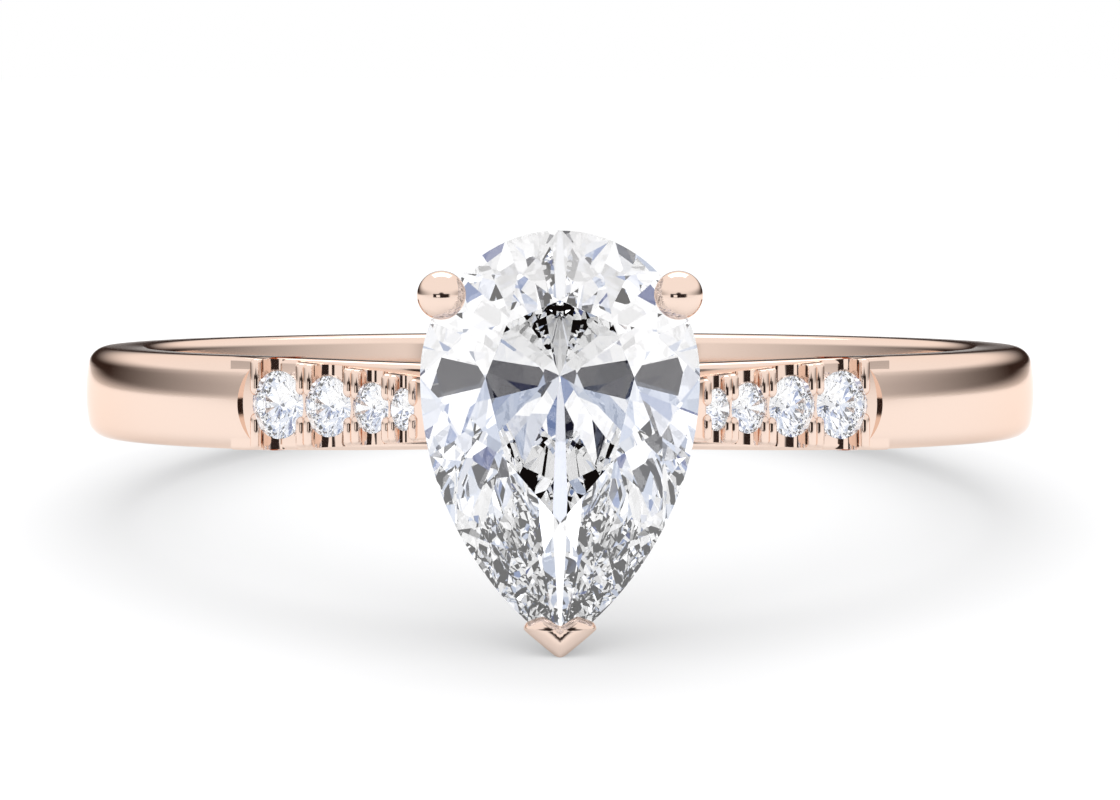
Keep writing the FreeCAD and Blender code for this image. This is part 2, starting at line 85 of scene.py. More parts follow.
class RingBandSizes(bpy.types.PropertyGroup):
    """Sizes of the band and of the bridge that carries it under the head."""
    bore: length("Finger bore", "Inside diameter of the band", 16.5)
    wall: length("Wall", "Radial thickness of the band at its crest", 1.31)
    width: length("Width", "Width of the band along the finger", 1.81)
    crown: length("Crown radius", "Radius of the band's domed outer face", 3.3)
    outer_round: length("Outer rounding", "Rounding of the outer edges", 0.30)
    inner_round: length("Comfort rounding", "Rounding of the inner edges", 0.20)
    bridge_wall: length("Bridge wall", "Radial thickness of the band under the head", 0.9)
    bridge_width: length("Bridge width", "Width of the band under the head", 1.52)
    hair: length("Hidden step", "How far one bar's faces lie inside those of the bar it joins", 0.003)


class RingShoulderSizes(bpy.types.PropertyGroup):
    """Sizes of the two cathedral shoulders and their settings."""
    start: turn("Start angle", "Angle from the head to where a shoulder leaves the band", 41)
    run: length("Straight run", "Straight length of a shoulder", 3.1)
    sweep: length("Sweep radius", "Radius of the curve that lifts a shoulder to the head", 5.1)
    span: length("Length", "Length of a shoulder along its face", 5.335)
    tip_width: length("Tip width", "Width of a shoulder where it meets the head", 1.1)
    depth: length("Depth", "Thickness of a shoulder under its stones", 1.0)
    rounding: length("Edge rounding", "Rounding of the long edges", 0.09)
    cut_depth: length("Bright cut depth", "How far the stone-set face lies below the band", 0.08)
    cut_radius: length("Bright cut radius", "Radius of the wall that ends the bright cut", 1.0)
    claw: length("Claw radius", "Radius of the small claws over the accent stones", 0.115)
    stone_1: length("First accent", "Diameter of the accent stone farthest from the head", 1.32)
    stone_2: length("Second accent", "Diameter of the second accent stone", 1.18)
    stone_3: length("Third accent", "Diameter of the third accent stone", 0.98)
    stone_4: length("Fourth accent", "Diameter of the accent stone beside the head", 0.82)
    stone_gap: length("Accent gap", "Room between neighbouring accent stones", 0.06)


class RingStoneSizes(bpy.types.PropertyGroup):
    """Proportions of the pear-shaped centre stone."""
    width: length("Width", "Width of the centre stone", 5.31)
    head: length("Head", "Height of the rounded end above the widest line", 2.77)
    point: length("Point", "Depth of the point below the widest line", 5.16)
    offset: length("Offset", "Height of the widest line above the band's middle", 0.68)
    girdle: length("Girdle", "Thickness of the girdle", 0.12)
    crown: length("Crown", "Height of the stone above its girdle", 0.76)
    pavilion: length("Pavilion", "Depth of the stone below its girdle", 2.25)
    table: share("Table", "Size of the table over the size of the girdle", 0.53)
    culet_gap: length("Culet room", "Room between the culet and the bridge", 0.15)


class RingHeadSizes(bpy.types.PropertyGroup):
    """Sizes of the basket and the claws that hold the centre stone."""
    wire: length("Claw wire", "Diameter of the round claws' wire", 0.72)
    ball: length("Claw ball", "Diameter of the round claws' ball tips", 0.93)
    angle: turn("Claw angle", "Angle of a round claw above the stone's widest line", 34.6)
    foot: length("Claw foot", "Distance of a round claw's foot from the stone's axis", 1.25)
    rail_width: length("Rail width", "Width of the basket's rails", 0.55)
    rail_height: length("Rail height", "Height of the basket's rails", 0.5)
    rail_gap: length("Rail gap", "Room between the gallery rail and the stone", 0.02)
    base_inset: length("Base inset", "How far the base rail lies inside the stone's outline", 1.25)
    point_wall: length("Point wall", "Wall of the V claw outside the stone's point", 0.24)
    point_prong: length("Point prong", "Width of the prong that carries the V claw", 0.8)


class RingFinishes(bpy.types.PropertyGroup):
    """Colours and polish of the metal and the stones."""
    gold: colour("Rose gold", "Colour of the polished rose gold", (0.88, 0.70, 0.60))
    gold_edge: colour("Gold edge", "Colour of the gold seen at a glancing angle", (0.97, 0.86, 0.79))
    gold_polish: share("Gold roughness", "Roughness of the polished gold", 0.07)
    diamond_index: share("Diamond index", "Refractive index of the stones", 2.417)
    floor: colour("Floor", "Colour of the studio floor", (0.93, 0.93, 0.935))


class RingStageSizes(bpy.types.PropertyGroup):
    """The studio: where the camera stands and how bright its lights are."""
    distance: length("Camera distance", "Distance from the aim point to the camera", 191.0)
    elevation: turn("Camera elevation", "Height of the camera above the aim point, as an angle", 2.1)
    lens: FloatProperty(name="Lens", description="Focal length of the camera", default=303.9,
                        unit="CAMERA")
    aim: length("Aim", "Height of the aim point on the finger axis", -0.19)
    ambient: share("Ambient light", "Brightness of the soft light on the floor", 1.14)
    segments: IntProperty(name="Round segments", description="Steps in a full turn of the band",
                          default=360, min=24)


class RingSettings(bpy.types.PropertyGroup):
    """Every size and colour of the ring."""
    band: PointerProperty(type=RingBandSizes)
    shoulder: PointerProperty(type=RingShoulderSizes)
    stone: PointerProperty(type=RingStoneSizes)
    head: PointerProperty(type=RingHeadSizes)
    finish: PointerProperty(type=RingFinishes)
    stage: PointerProperty(type=RingStageSizes)


def sizes(group_name):
    """One group of settings with its lengths in millimetres."""
    group = getattr(bpy.context.scene.ring_settings, group_name)
    made = SimpleNamespace()
    for name, prop in group.bl_rna.properties.items():
        if name in ("rna_type", "name"):
            continue
        value = getattr(group, name)
        setattr(made, name, value / MM if getattr(prop, "unit", "") == "LENGTH" else value)
    return made


# ---------------------------------------------------------------- making meshes

def finish_mesh(bm, name, sharp=None):
    """A mesh in metres from a bmesh in millimetres: merged, facing outwards, shaded."""
    bmesh.ops.remove_doubles(bm, verts=bm.verts, dist=1e-4)
    bmesh.ops.dissolve_degenerate(bm, edges=bm.edges, dist=1e-4)
    bmesh.ops.recalc_face_normals(bm, faces=bm.faces)
    bmesh.ops.scale(bm, vec=(MM, MM, MM), verts=bm.verts)
    for face in bm.faces:
        face.smooth = sharp is not None
    mesh = bpy.data.meshes.new(name)
    bm.to_mesh(mesh)
    bm.free()
    if sharp is not None:
        mesh.set_sharp_from_angle(angle=math.radians(sharp))
    return mesh


def add_piece(bm, name, material, slot, nodes, sharp=None, mirrored=True):
    """Put a finished piece in the scene on the ring's body, standing for CAD nodes.

    The metal isn't seen through the stones, so that they stay colourless. The claws that
    reach into the centre stone aren't mirrored in its facets either."""
    piece = bpy.data.objects.new(name, finish_mesh(bm, name, sharp))
    bpy.context.scene.collection.objects.link(piece)
    piece.data.materials.append(material)
    piece.visible_transmission = slot == "diamond"
    piece.visible_glossy = mirrored
    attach(piece, "root")
    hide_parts(*nodes)
    return piece


def subtract(bm, tools):
    """The bmesh less each of the tool bmeshes, one after another."""
    scene = bpy.context.scene
    mesh = bpy.data.meshes.new("blank")
    bmesh.ops.recalc_face_normals(bm, faces=bm.faces)
    bm.to_mesh(mesh)
    blank = bpy.data.objects.new("blank", mesh)
    scene.collection.objects.link(blank)
    spent = []
    for tool in tools:
        bmesh.ops.recalc_face_normals(tool, faces=tool.faces)
        tool_mesh = bpy.data.meshes.new("tool")
        tool.to_mesh(tool_mesh)
        tool.free()
        cutter = bpy.data.objects.new("tool", tool_mesh)
        scene.collection.objects.link(cutter)
        spent.append(cutter)
        step = blank.modifiers.new("cut", "BOOLEAN")
        step.operation, step.solver, step.object = "DIFFERENCE", "MANIFOLD", cutter
    cut = bpy.data.meshes.new_from_object(blank.evaluated_get(bpy.context.evaluated_depsgraph_get()))
    bm.clear()
    bm.from_mesh(cut)
    bpy.data.meshes.remove(cut)
    for thing in [blank] + spent:
        old = thing.data
        bpy.data.objects.remove(thing)
        bpy.data.meshes.remove(old)
    if not bm.faces:
        raise RuntimeError("a cut left nothing of the blank")
    return bm


def round_corners(bm, corners, radius, segments):
    """Round some of a flat face's corners."""
    bmesh.ops.bevel(bm, geom=corners, offset=radius, offset_type="OFFSET", affect="VERTICES",
                    segments=segments, profile=0.5, material=-1, clamp_overlap=True)


def bar_section(bm, low, high, half, inner_round, outer_round, crown=None):
    """A bar's section in the XZ plane: x outwards, z along the finger, edges rounded, face domed."""
    def sagitta(z):
        return crown - math.sqrt(crown ** 2 - z ** 2) if crown else 0.0

    top = high - sagitta(half)
    corners = [bm.verts.new((x, 0, z)) for x, z in ((low, -half), (low, half), (top, half), (top, -half))]
    bm.faces.new(corners)
    round_corners(bm, corners[:2], inner_round, 6)
    round_corners(bm, corners[2:], outer_round, 8)
    face_edges = [e for e in bm.edges if all(abs(v.co.x - top) < 1e-6 for v in e.verts)]
    longest = max(face_edges, key=lambda e: e.calc_length())
    if crown:
        bmesh.ops.subdivide_edges(bm, edges=[longest], cuts=14)
    for v in bm.verts:
        if v.co.x > (low + top) / 2:
            v.co.x += sagitta(half) - sagitta(min(abs(v.co.z), half))
    bm.faces.ensure_lookup_table()
    return bm.faces[0]


def extend(bm, cap, move):
    """Draw a bar on from its end face, and return the new end face."""
    made = bmesh.ops.extrude_face_region(bm, geom=[cap])["geom"]
    new_cap = next(part for part in made if isinstance(part, bmesh.types.BMFace))
    bmesh.ops.transform(bm, matrix=move, verts=new_cap.verts)
    if cap.is_valid and all(len(edge.link_faces) > 2 for edge in cap.edges):
        bmesh.ops.delete(bm, geom=[cap], context="FACES_ONLY")
    return new_cap


def sweep(bm, cap, frames):
    """Draw a section, lying at the first frame, through the rest of the frames."""
    for before, after in zip(frames, frames[1:]):
        cap = extend(bm, cap, after @ before.inverted())
    return cap


def axes(x_axis, y_axis, z_axis, place):
    """A frame from its three axes and its place."""
    columns = Matrix((x_axis, y_axis, z_axis)).transposed().to_4x4()
    return Matrix.Translation(place) @ columns


def cylinder(frame_matrix, radius, low, high, far_radius=None, segments=64):
    """A cylinder or cone along a frame's z axis, as a bmesh of its own."""
    bm = bmesh.new()
    bmesh.ops.create_cone(bm, cap_ends=True, segments=segments, radius1=radius,
                          radius2=radius if far_radius is None else far_radius, depth=high - low,
                          matrix=frame_matrix @ Matrix.Translation((0, 0, (low + high) / 2)))
    return bm


def seat_tool(frame_matrix, radius, girdle, pavilion, high):
    """The hollow a round stone drops into: a cone under its girdle, open above."""
    bm = cylinder(frame_matrix, 0.02, -girdle - pavilion, -girdle, far_radius=radius)
    rim = max(bm.faces, key=lambda f: f.calc_area() if len(f.verts) > 4 else 0.0)
    extend(bm, rim, Matrix.Translation(frame_matrix.col[2].to_3d() * (girdle + high)))
    return bm


# ---------------------------------------------------------------- the shoulder's line

def shoulder_frame(travel):
    """The right shoulder's frame at a travel from the band: x out of its face, z up the finger."""
    band, shoulder = sizes("band"), sizes("shoulder")
    angle = shoulder.start
    outward = Vector((math.sin(angle), -math.cos(angle), 0))
    along = Vector((-math.cos(angle), -math.sin(angle), 0))
    start = outward * (band.bore / 2 + band.wall - shoulder.cut_depth)
    if travel <= shoulder.run:
        return axes(outward, -along, UP, start + along * travel)
    bend = (travel - shoulder.run) / shoulder.sweep
    centre = start + along * shoulder.run + outward * shoulder.sweep
    spin = Matrix.Rotation(bend, 3, "Z")
    turned_out, turned_along = spin @ outward, spin @ along
    return axes(turned_out, -turned_along, UP, centre - turned_out * shoulder.sweep)


def accents():
    """Diameter and travel of each accent stone of a shoulder, from the band to the head."""
    shoulder = sizes("shoulder")
    diameters = (shoulder.stone_1, shoulder.stone_2, shoulder.stone_3, shoulder.stone_4)
    travel, placed, before = shoulder.cut_radius, [], None
    for diameter in diameters:
        if before:
            travel += (before + diameter) / 2 + shoulder.stone_gap
        placed.append((diameter, travel))
        before = diameter
    return placed


def accent_seat(diameter, travel):
    """The hollow that an accent stone drops into."""
    return seat_tool(face_frame(travel), diameter / 2 + SEAT_GAP, ACCENT_GIRDLE * diameter,
                     ACCENT_PAVILION * diameter, diameter)


def face_frame(travel, across=0.0, height=0.0):
    """A frame on the stone-set face: x towards the band, y up the finger, z out of the face."""
    base = shoulder_frame(travel)
    outward, back = base.col[0].to_3d(), base.col[1].to_3d()
    place = base.to_translation() + UP * across + outward * height
    return axes(UP.cross(outward), UP, outward, place)


# ---------------------------------------------------------------- finishes

def new_material(name):
    """An empty material with its shader and output joined."""
    material = bpy.data.materials.new(name)
    material.use_nodes = True
    tree = material.node_tree
    tree.nodes.clear()
    shader = tree.nodes.new("ShaderNodeBsdfPrincipled")
    output = tree.nodes.new("ShaderNodeOutputMaterial")
    tree.links.new(shader.outputs["BSDF"], output.inputs["Surface"])
    return material, tree, shader


def rose_gold():
    """Polished rose gold, with the faint unevenness and hairlines that polishing leaves."""
    known = bpy.data.materials.get("polished rose gold")
    if known:
        return known
    finish = bpy.context.scene.ring_settings.finish
    material, tree, shader = new_material("polished rose gold")
    nodes, links = tree.nodes, tree.links
    shader.inputs["Metallic"].default_value = 1.0
    shader.inputs["Specular Tint"].default_value = (*finish.gold_edge, 1.0)
    place = nodes.new("ShaderNodeTexCoord")
    tone = nodes.new("ShaderNodeTexNoise")
    tone.inputs["Scale"].default_value = 260.0
    tone.inputs["Detail"].default_value = 3.0
    links.new(place.outputs["Object"], tone.inputs["Vector"])
    tint = nodes.new("ShaderNodeMix")
    tint.data_type = "RGBA"
    gold = Vector(finish.gold)
    tint.inputs["A"].default_value = (*(gold * 0.975), 1.0)
    tint.inputs["B"].default_value = (*[min(1.0, c * 1.02) for c in gold], 1.0)
    links.new(tone.outputs["Fac"], tint.inputs["Factor"])
    links.new(tint.outputs["Result"], shader.inputs["Base Color"])
    polish = nodes.new("ShaderNodeMapRange")
    polish.inputs["To Min"].default_value = finish.gold_polish * 0.7
    polish.inputs["To Max"].default_value = finish.gold_polish * 1.5
    links.new(tone.outputs["Fac"], polish.inputs["Value"])
    links.new(polish.outputs["Result"], shader.inputs["Roughness"])
    hairs = nodes.new("ShaderNodeMapping")
    hairs.inputs["Scale"].default_value = (9000.0, 9000.0, 52000.0)
    links.new(place.outputs["Object"], hairs.inputs["Vector"])
    grain = nodes.new("ShaderNodeTexNoise")
    grain.inputs["Scale"].default_value = 1.0
    grain.inputs["Detail"].default_value = 2.0
    links.new(hairs.outputs["Vector"], grain.inputs["Vector"])
    bump = nodes.new("ShaderNodeBump")
    bump.inputs["Strength"].default_value = 0.03
    bump.inputs["Distance"].default_value = 0.000005
    links.new(grain.outputs["Fac"], bump.inputs["Height"])
    links.new(bump.outputs["Normal"], shader.inputs["Normal"])
    return material


def diamond():
    """Clear diamond with polished facets."""
    known = bpy.data.materials.get("polished diamond")
    if known:
        return known
    finish = bpy.context.scene.ring_settings.finish
    material, tree, shader = new_material("polished diamond")
    shader.inputs["Base Color"].default_value = (1.0, 1.0, 1.0, 1.0)
    shader.inputs["Roughness"].default_value = 0.0
    shader.inputs["IOR"].default_value = finish.diamond_index
    shader.inputs["Transmission Weight"].default_value = 1.0
    return material


# ---------------------------------------------------------------- the metal pieces

class RING_OT_band(bpy.types.Operator):
    """Builds the court-profile band and the bridge that carries it under the head"""
    bl_idname = "ring.band"
    bl_label = "Band"

    def execute(self, context):
        band, shoulder, stage = sizes("band"), sizes("shoulder"), sizes("stage")
        inner, outer = band.bore / 2, band.bore / 2 + band.wall
        bm = bmesh.new()
        bar_section(bm, inner, outer, band.width / 2, band.inner_round, band.outer_round, band.crown)
        bmesh.ops.rotate(bm, matrix=Matrix.Rotation(shoulder.start - math.pi / 2, 3, "Z"), verts=bm.verts)
        sweep_angle = 2 * math.pi - 2 * shoulder.start
        steps = round(stage.segments * sweep_angle / (2 * math.pi))
        bm.faces.ensure_lookup_table()
        first = bm.faces[0]
        turned = Matrix.Rotation(sweep_angle / steps, 4, "Z")
        last = first
        for _ in range(steps):
            last = extend(bm, last, turned)
        reach = 0.75 * shoulder.cut_radius
        along = Vector((-math.cos(shoulder.start), -math.sin(shoulder.start), 0))
        extend(bm, last, Matrix.Translation(Vector((-along.x, along.y, 0)) * reach))
        start_faces = [f for f in bm.faces if abs(f.normal.dot(along)) > 0.9999 and len(f.verts) > 8]
        front = max(start_faces, key=lambda f: (f.calc_center_median() - along).dot(along)
                    if f.calc_center_median().x > 0 else -99)
        extend(bm, front, Matrix.Translation(along * reach))
        tools = []
        for side in (1, -1):
            wall = cylinder(face_frame(shoulder.cut_radius), shoulder.cut_radius,
                            -shoulder.depth, shoulder.depth, segments=128)
            bmesh.ops.scale(wall, vec=(side, 1, 1), verts=wall.verts)
            tools.append(wall)
        subtract(bm, tools)
        add_piece(bm, "band", rose_gold(), "rose_gold", ["shank"], sharp=32)

        bm = bmesh.new()
        hair = band.hair
        bar_section(bm, inner + hair, inner + band.bridge_wall, band.width / 2 - hair,
                    band.inner_round, band.inner_round * 0.6)
        spread = shoulder.start + math.radians(3)
        bmesh.ops.rotate(bm, matrix=Matrix.Rotation(-math.pi / 2 - spread, 3, "Z"), verts=bm.verts)
        bm.faces.ensure_lookup_table()
        cap, steps = bm.faces[0], round(stage.segments * spread / math.pi)
        turned = Matrix.Rotation(2 * spread / steps, 4, "Z")
        for _ in range(steps):
            cap = extend(bm, cap, turned)
        for v in bm.verts:
            angle = abs(math.atan2(v.co.x, -v.co.y)) / shoulder.start
            ease = max(0.0, 1 - angle) ** 1.3
            v.co.z *= 1 - ease * (1 - band.bridge_width / band.width)
        diameter, travel = accents()[0]
        tools = []
        for side in (1, -1):
            seat = accent_seat(diameter, travel)
            bmesh.ops.scale(seat, vec=(side, 1, 1), verts=seat.verts)
            tools.append(seat)
        subtract(bm, tools)
        add_piece(bm, "bridge", rose_gold(), "rose_gold", ["shank"], sharp=32)
        return {"FINISHED"}


def shoulder_taper(travel):
    """Half width of a shoulder at a travel from the band."""
    band, shoulder = sizes("band"), sizes("shoulder")
    along = min(1.0, max(0.0, travel / shoulder.span))
    return band.width / 2 - band.hair - along ** 1.3 * (band.width - shoulder.tip_width) / 2


class RING_OT_shoulders(bpy.types.Operator):
    """Builds the two cathedral shoulders with their seats and scalloped sides"""
    bl_idname = "ring.shoulders"
    bl_label = "Shoulders"

    def execute(self, context):
        band, shoulder = sizes("band"), sizes("shoulder")
        for name, side in (("right", 1), ("left", -1)):
            bm = bmesh.new()
            cap = bar_section(bm, -shoulder.depth, 0.0, 1.0, shoulder.rounding, shoulder.rounding)
            start, steps = -0.25, 90
            travels = [start + step * (shoulder.span - start) / steps for step in range(steps + 1)]
            bmesh.ops.transform(bm, matrix=shoulder_frame(travels[0]), verts=bm.verts)
            for v in bm.verts:
                v.co.z *= shoulder_taper(travels[0])
            before = travels[0]
            for travel in travels[1:]:
                widen = shoulder_taper(travel) / shoulder_taper(before)
                move = shoulder_frame(travel) @ shoulder_frame(before).inverted()
                cap = extend(bm, cap, move @ Matrix.Diagonal((1, 1, widen, 1)))
                before = travel
            tools = []
            for diameter, travel in accents():
                tools.append(accent_seat(diameter, travel))
                notch_radius, notch_start, notch_lift = 0.35 * diameter, 0.38 * diameter, 0.02
                middle = face_frame(travel, height=notch_lift).to_translation()
                for up in (1, -1):
                    across = axes(Vector((1, 0, 0)), Vector((0, up, 0)), UP * up, middle)
                    tools.append(cylinder(across, notch_radius, notch_start, band.width, segments=48))
            subtract(bm, tools)
            bmesh.ops.scale(bm, vec=(side, 1, 1), verts=bm.verts)
            add_piece(bm, f"shoulder_{name}", rose_gold(), "rose_gold", ["shank"], sharp=32)
        return {"FINISHED"}


class RING_OT_accent_claws(bpy.types.Operator):
    """Builds the small paired claws between the accent stones"""
    bl_idname = "ring.accent_claws"
    bl_label = "Accent claws"

    def execute(self, context):
        shoulder = sizes("shoulder")
        radius = shoulder.claw
        placed = accents()
        spots = []
        for (diameter, travel), (following, after) in zip(placed, placed[1:]):
            middle = travel + diameter / 2 + shoulder.stone_gap / 2
            spots.append((middle - 0.85 * radius, diameter, travel))
            spots.append((middle + 0.85 * radius, following, after))
        first, last = placed[0], placed[-1]
        spots.append((first[1] - 0.46 * first[0], first[0], first[1]))
        spots.append((last[1] + 0.46 * last[0], last[0], last[1]))
        for name, side in (("right", 1), ("left", -1)):
            bm = bmesh.new()
            for travel, diameter, centre in spots:
                offset = travel - centre
                inner = math.sqrt(max(0.0, (diameter / 2 + 0.2 * radius) ** 2 - offset ** 2))
                outer = max(inner + radius, shoulder_taper(travel) - radius)
                for up in (1, -1):
                    made = bmesh.ops.create_uvsphere(bm, u_segments=20, v_segments=12,
                                                     radius=radius)["verts"]
                    for v in made:
                        v.co = Vector((v.co.x, v.co.z, v.co.y))
                        if v.co.y > 0:
                            v.co.y += outer - inner
                        else:
                            v.co.y *= 1.25
                    place = face_frame(travel, up * inner, -0.25 * radius)
                    place = place @ Matrix.Diagonal((1, up, 1, 1))
                    bmesh.ops.transform(bm, matrix=place, verts=made)
            bmesh.ops.scale(bm, vec=(side, 1, 1), verts=bm.verts)
            add_piece(bm, f"accent_claws_{name}", rose_gold(), "rose_gold", ["shank"], sharp=60)
        return {"FINISHED"}


# ---------------------------------------------------------------- the head

def pear_point(degrees, inset=0.0):
    """A point on the pear outline: 0 at the right of the widest line, 90 at the head, -90 at the point."""
    stone = sizes("stone")
    half = stone.width / 2
    degrees = (degrees + 90) % 360 - 90
    if 0 <= degrees <= 180:
        angle = math.radians(degrees)
        return Vector(((half - inset) * math.cos(angle), (stone.head - inset) * math.sin(angle), 0))
    radius = (stone.point ** 2 + half ** 2) / (2 * half)
    offset = radius - half
    side = 1 if degrees < 0 else -1
    part = -degrees / 90 if side > 0 else (degrees - 180) / 90
    bend = part * math.acos(offset / (radius - inset))
    reach = radius - inset
    return Vector((side * (reach * math.cos(bend) - offset), -reach * math.sin(bend), 0))


def head_frame():
    """The head's frame: x right, y up the finger, z away from the finger, on the stone's axis."""
    stone = sizes("stone")
    return axes(Vector((1, 0, 0)), UP, Vector((0, -1, 0)), Vector((0, 0, stone.offset)))


def heights():
    """Heights above the finger axis of the culet, the girdle's base and the crown's base."""
    band, stone = sizes("band"), sizes("stone")
    culet = band.bore / 2 + band.bridge_wall + stone.culet_gap
    girdle = culet + stone.pavilion
    return SimpleNamespace(bridge=culet - stone.culet_gap, culet=culet, girdle=girdle,
                           crown=girdle + stone.girdle)


def rail(inset, low, width, height):
    """A pear-shaped rail with rounded edges, its outer edge inset from the stone's outline."""
    bm = bmesh.new()
    bar_section(bm, -width / 2, width / 2, height / 2, 0.11, 0.11)
    turns = [-90 + 360 * (step + 0.5) / 96 for step in range(96)]
    frames = []
    for degrees in turns:
        middle = pear_point(degrees, inset + width / 2)
        ahead = pear_point(degrees + 2, inset + width / 2) - pear_point(degrees - 2, inset + width / 2)
        ahead.normalize()
        outward = ahead.cross(UP)
        frames.append(axes(outward, ahead, UP, middle + UP * (low + height / 2)))
    bmesh.ops.transform(bm, matrix=frames[0], verts=bm.verts)
    bm.faces.ensure_lookup_table()
    first = bm.faces[0]
    last = sweep(bm, first, frames)
    ends = [f for f in bm.faces if len(f.verts) > 8]
    if last in ends and len(ends) == 2:
        bmesh.ops.bridge_loops(bm, edges=[e for f in ends for e in f.edges])
        bmesh.ops.delete(bm, geom=ends, context="FACES_ONLY")
    bmesh.ops.transform(bm, matrix=head_frame(), verts=bm.verts)
    return bm


class RING_OT_basket(bpy.types.Operator):
    """Builds the basket's base rail and gallery rail"""
    bl_idname = "ring.basket"
    bl_label = "Basket rails"

    def execute(self, context):
        stone, head, level = sizes("stone"), sizes("head"), heights()
        low = level.culet + 0.48 * stone.pavilion
        clear = 1 - (low + head.rail_height - level.culet) / stone.pavilion
        inset = stone.width / 2 * clear - head.rail_gap - head.rail_width
        bm = rail(inset, low, head.rail_width, head.rail_height)
        add_piece(bm, "gallery", rose_gold(), "rose_gold", ["gallery_rail"], sharp=40)
        bm = rail(head.base_inset, level.bridge - head.rail_height / 2, head.rail_width, head.rail_height)
        add_piece(bm, "basket_base", rose_gold(), "rose_gold", ["base_rail"], sharp=40)
        return {"FINISHED"}


class RING_OT_round_claws(bpy.types.Operator):
    """Builds the two round wire claws with ball tips"""
    bl_idname = "ring.round_claws"
    bl_label = "Round claws"

    def execute(self, context):
        stone, head, level = sizes("stone"), sizes("head"), heights()
        reach = stone.width / 2 + 0.1 * head.wire
        top = level.crown + 0.2 * stone.crown
        low = level.bridge - head.rail_height / 2
        knots = [Vector((head.foot, 0, low)), Vector((0.62 * reach, 0, low + 0.42 * (top - low))),
                 Vector((reach + 0.1 * head.wire, 0, level.girdle - 0.75 * head.wire)),
                 Vector((reach, 0, top))]
        path, steps = [], 32
        for step in range(steps + 1):
            t = step / steps
            weights = ((1 - t) ** 3, 3 * t * (1 - t) ** 2, 3 * t * t * (1 - t), t ** 3)
            path.append(sum((knot * w for knot, w in zip(knots, weights)), Vector()))
        for name, side in (("right", 1), ("left", -1)):
            bm = bmesh.new()
            bmesh.ops.create_circle(bm, cap_ends=True, segments=40, radius=head.wire / 2)
            frames = []
            for before, here, after in zip([path[0]] + path, path, path[1:] + [path[-1]]):
                along = (after - before).normalized()
                across = Vector((0, 1, 0))
                frames.append(axes(across.cross(along), across, along, here))
            bmesh.ops.transform(bm, matrix=frames[0], verts=bm.verts)
            bm.faces.ensure_lookup_table()
            sweep(bm, bm.faces[0], frames)
            ball = bmesh.ops.create_icosphere(bm, subdivisions=5, radius=head.ball / 2)["verts"]
            bmesh.ops.translate(bm, vec=Vector((reach, 0, top)), verts=ball)
            angle = head.angle if side > 0 else math.pi - head.angle
            bmesh.ops.rotate(bm, matrix=Matrix.Rotation(angle, 3, "Z"), verts=bm.verts)
            bmesh.ops.transform(bm, matrix=head_frame(), verts=bm.verts)
            add_piece(bm, f"round_claw_{name}", rose_gold(), "rose_gold", [f"claw_{name}"], sharp=50,
                      mirrored=False)
        return {"FINISHED"}


class RING_OT_point_claw(bpy.types.Operator):
    """Builds the heart-shaped V claw over the stone's point, and its prong"""
    bl_idname = "ring.point_claw"
    bl_label = "Point claw"

    def execute(self, context):
        stone, head, level = sizes("stone"), sizes("head"), heights()
        tip = -stone.point
        lip = level.crown + 0.62 * stone.crown
        foot = level.girdle - 2 * head.point_wall
        point, valley = (0.0, tip - head.point_wall), (0.0, tip + 0.43)
        corner, slope, peak = (0.72, tip + 0.36), (0.66, tip + 0.5), (0.32, tip + 0.64)
        half_outline = [point, corner, slope, peak, valley]
        outline = half_outline + [(-x, y) for x, y in reversed(half_outline[1:-1])]
        bm = bmesh.new()
        low_rim = lip - 0.24
        corners = [bm.verts.new((x, y, foot)) for x, y in outline]
        extend(bm, bm.faces.new(corners), Matrix.Translation((0, 0, low_rim - foot)))
        posts = [e for e in bm.edges if abs(e.verts[0].co.z - e.verts[1].co.z) > 0.1]
        bmesh.ops.bevel(bm, geom=posts, offset=0.055, offset_type="OFFSET", affect="EDGES",
                        segments=2, profile=0.5, material=-1, clamp_overlap=True)
        top = max(bm.faces, key=lambda f: f.calc_center_median().z)
        bmesh.ops.inset_region(bm, faces=[top], thickness=0.07, depth=0.13, use_even_offset=True)
        bmesh.ops.inset_region(bm, faces=[top], thickness=0.10, depth=0.09, use_even_offset=True)
        bmesh.ops.recalc_face_normals(bm, faces=bm.faces)
        prong = bmesh.new()
        base_tip = pear_point(-90, head.base_inset).y
        low, high, wall = level.bridge - head.rail_height / 2, foot + head.point_wall, head.point_wall
        side = [(base_tip, low), (tip + wall * 0.1, high), (tip + 2.2 * wall, high),
                (base_tip + 2.4 * wall, low)]
        ring = [prong.verts.new((-head.point_prong / 2, y, z)) for y, z in side]
        extend(prong, prong.faces.new(ring), Matrix.Translation((head.point_prong, 0, 0)))
        for v in prong.verts:
            if v.co.z > high - wall / 2:
                v.co.x *= 0.5
        bmesh.ops.bevel(prong, geom=list(prong.edges), offset=0.09, offset_type="OFFSET", affect="EDGES",
                        segments=4, profile=0.5, material=-1, clamp_overlap=True)
        bmesh.ops.transform(bm, matrix=head_frame(), verts=bm.verts)
        bmesh.ops.transform(prong, matrix=head_frame(), verts=prong.verts)
        heart = add_piece(bm, "point_claw", rose_gold(), "rose_gold", ["v_claw"], sharp=180,
                          mirrored=False)
        smooth = heart.modifiers.new("smooth", "SUBSURF")
        smooth.levels = smooth.render_levels = 3
        add_piece(prong, "point_prong", rose_gold(), "rose_gold", ["v_claw"], sharp=34, mirrored=False)
        return {"FINISHED"}


# ---------------------------------------------------------------- the stones

